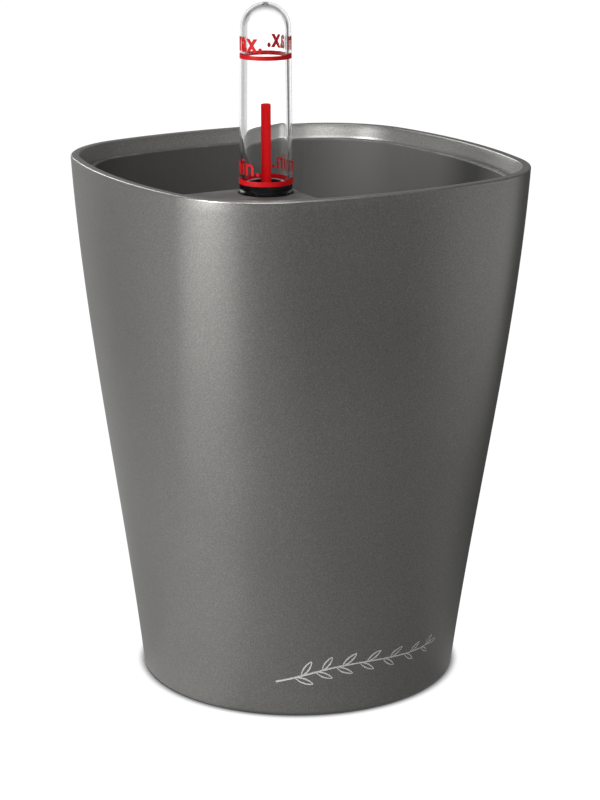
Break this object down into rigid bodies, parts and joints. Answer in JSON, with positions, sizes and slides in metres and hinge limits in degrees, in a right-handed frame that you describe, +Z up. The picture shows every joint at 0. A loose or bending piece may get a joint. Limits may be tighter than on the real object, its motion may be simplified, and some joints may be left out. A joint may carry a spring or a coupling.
{
  "type": "self watering planter",
  "caption": "Table planter: rounded-square pot tapering to a round base, lift-out liner with corner deck, clear float level gauge and felt wicks over a hidden water reservoir",
  "frame": {"origin": "centre of the base, on the surface the planter stands on", "axes": "+Z up; the pot's flat sides face along X and Y; the gauge stands in the front left corner, at -X and -Y"},
  "size_m": [0.1016, 0.1016, 0.1707],
  "materials": {
    "pot": "satin charcoal metallic lacquer",
    "liner": "satin charcoal",
    "wick": "needled felt",
    "clear_tube": "clear polished",
    "black_plastic": "fine satin",
    "float_foam": "closed-cell foam",
    "red_rod": "gloss",
    "red_print": "printed ink"
  },
  "bodies": {
    "pot": {"planter_shell": "pot"},
    "liner": {"planter_liner": "liner", "wick_back": "wick", "wick_right": "wick"},
    "gauge": {"sight_tube": "clear_tube", "guide_plug": "black_plastic", "float_housing": "black_plastic", "housing_foot": "black_plastic", "max_mark": "red_print", "min_mark": "red_print"},
    "float": {"level_float": "float_foam", "float_rod": "red_rod"}
  },
  "joints": [
    {"name": "liner_lift", "type": "slide", "parent": "pot", "child": "liner", "axis": [0, 0, 1], "range_m": [0, 0.135]},
    {"name": "gauge_lift", "type": "slide", "parent": "liner", "child": "gauge", "axis": [0, 0, 1], "range_m": [0, 0.13]},
    {"name": "float_rise", "type": "slide", "parent": "gauge", "child": "float", "axis": [0, 0, 1], "range_m": [-0.0179, 0.0111]}
  ]
}
